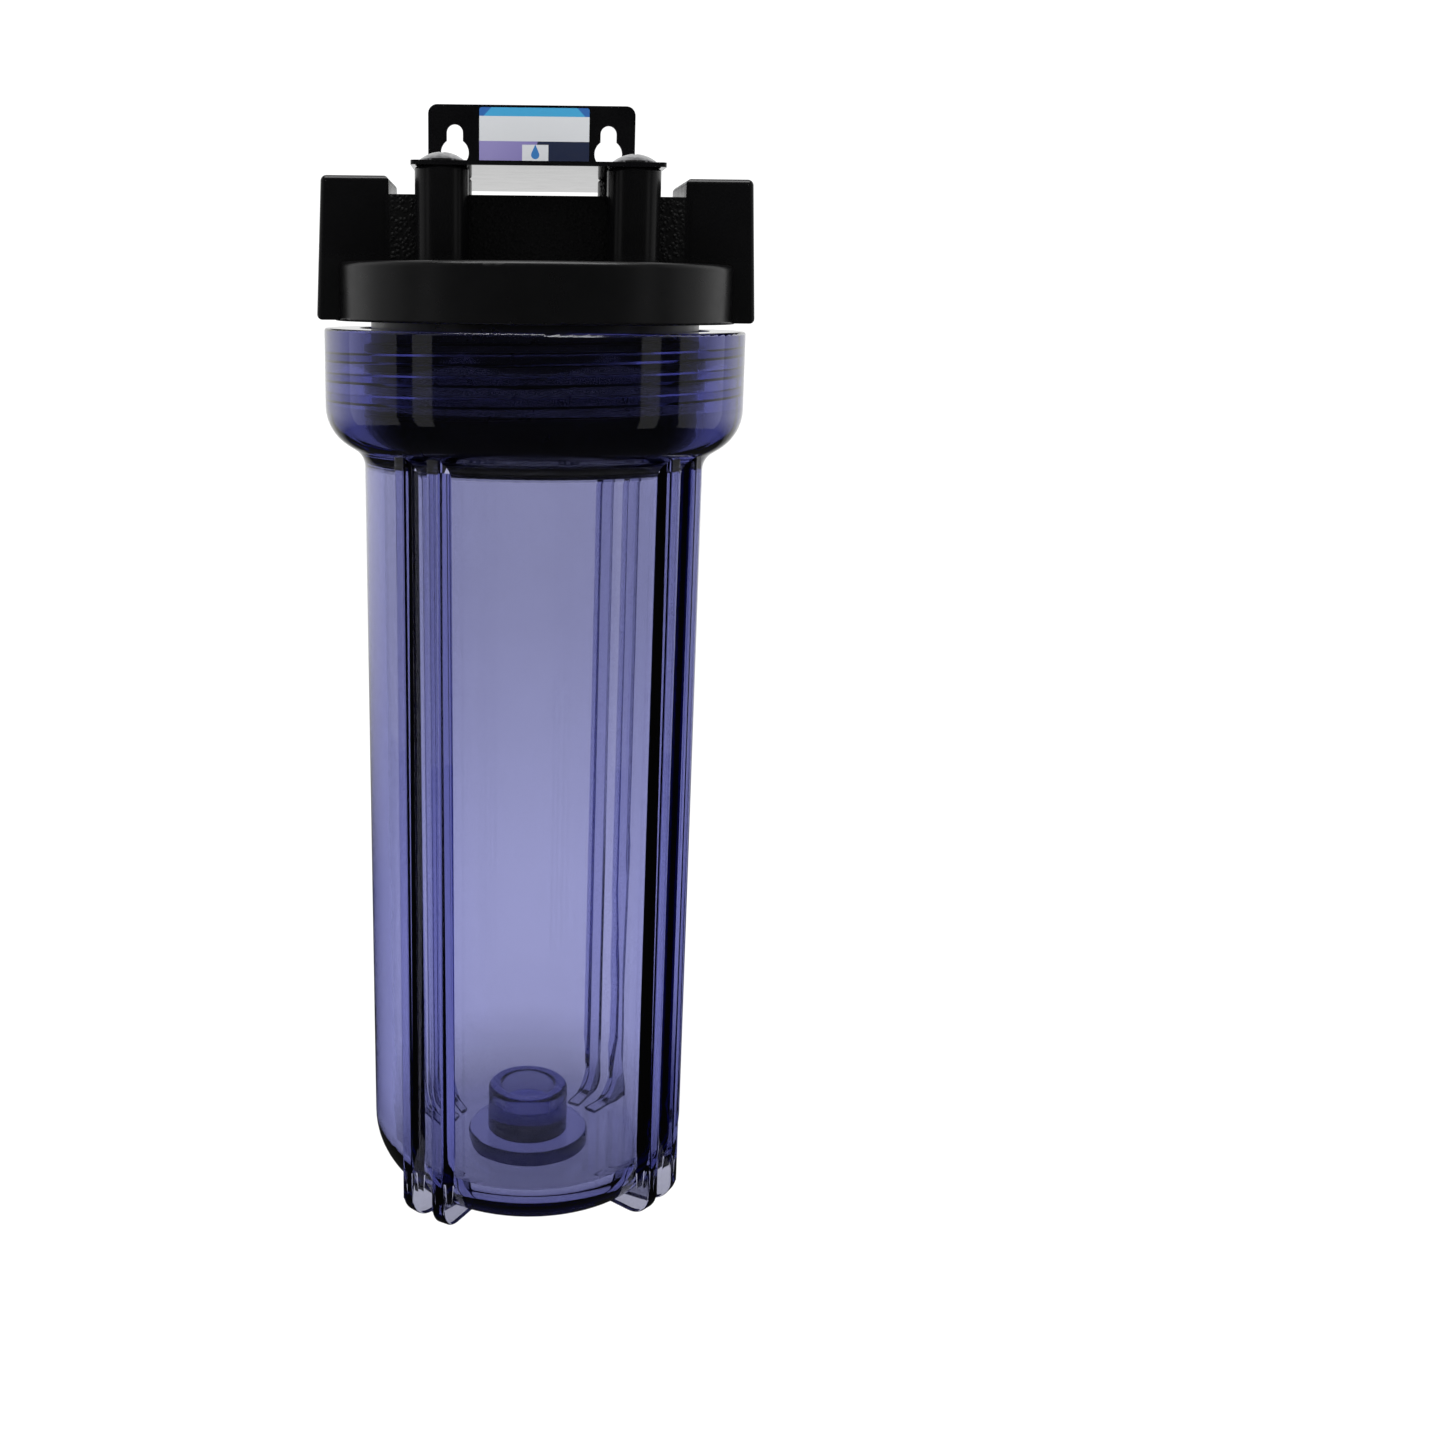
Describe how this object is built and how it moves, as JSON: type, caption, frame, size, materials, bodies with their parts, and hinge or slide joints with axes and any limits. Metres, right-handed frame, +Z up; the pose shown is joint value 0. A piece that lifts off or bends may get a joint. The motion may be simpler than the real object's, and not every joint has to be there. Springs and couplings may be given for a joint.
{
  "type": "cartridge filter housing",
  "caption": "Wall-hung water filter housing: ported black head, screw-on clear ribbed bowl with its O-ring seal, and an L-shaped steel bracket with keyholes.",
  "frame": {"origin": "centre of the bowl's plain underside, on the bowl's axis", "axes": "+Z up along the bowl's axis to the head; the ports face -X and +X; the front is -Y and the wall is on +Y"},
  "size_m": [0.1198, 0.141, 0.3278],
  "materials": {
    "head_plastic": "satin",
    "clear_bowl": "gloss",
    "seal_rubber": "satin",
    "bracket_paint": "gloss",
    "label": "gloss",
    "screw_chrome": "polished"
  },
  "bodies": {
    "housing": {"head": "head_plastic", "bracket": "bracket_paint", "bracket_label": "label", "bracket_screw_front_left": "screw_chrome", "bracket_screw_front_right": "screw_chrome", "bracket_screw_rear_left": "screw_chrome", "bracket_screw_rear_right": "screw_chrome"},
    "bowl_travel": {"sump_o_ring": "seal_rubber"},
    "bowl": {"sump": "clear_bowl"}
  },
  "joints": [
    {"name": "bowl_lower", "type": "slide", "parent": "housing", "child": "bowl_travel", "axis": [0, 0, -1], "range_m": [0, 0.0262]},
    {"name": "bowl_unscrew", "type": "hinge", "parent": "bowl_travel", "child": "bowl", "pos_m": [0, 0, 0.12], "axis": [0, 0, -1], "range_deg": [0, 1710]}
  ],
  "couplings": [
    {"joint": "bowl_lower", "follows": "bowl_unscrew", "m_per_rad": 0.00087535}
  ]
}
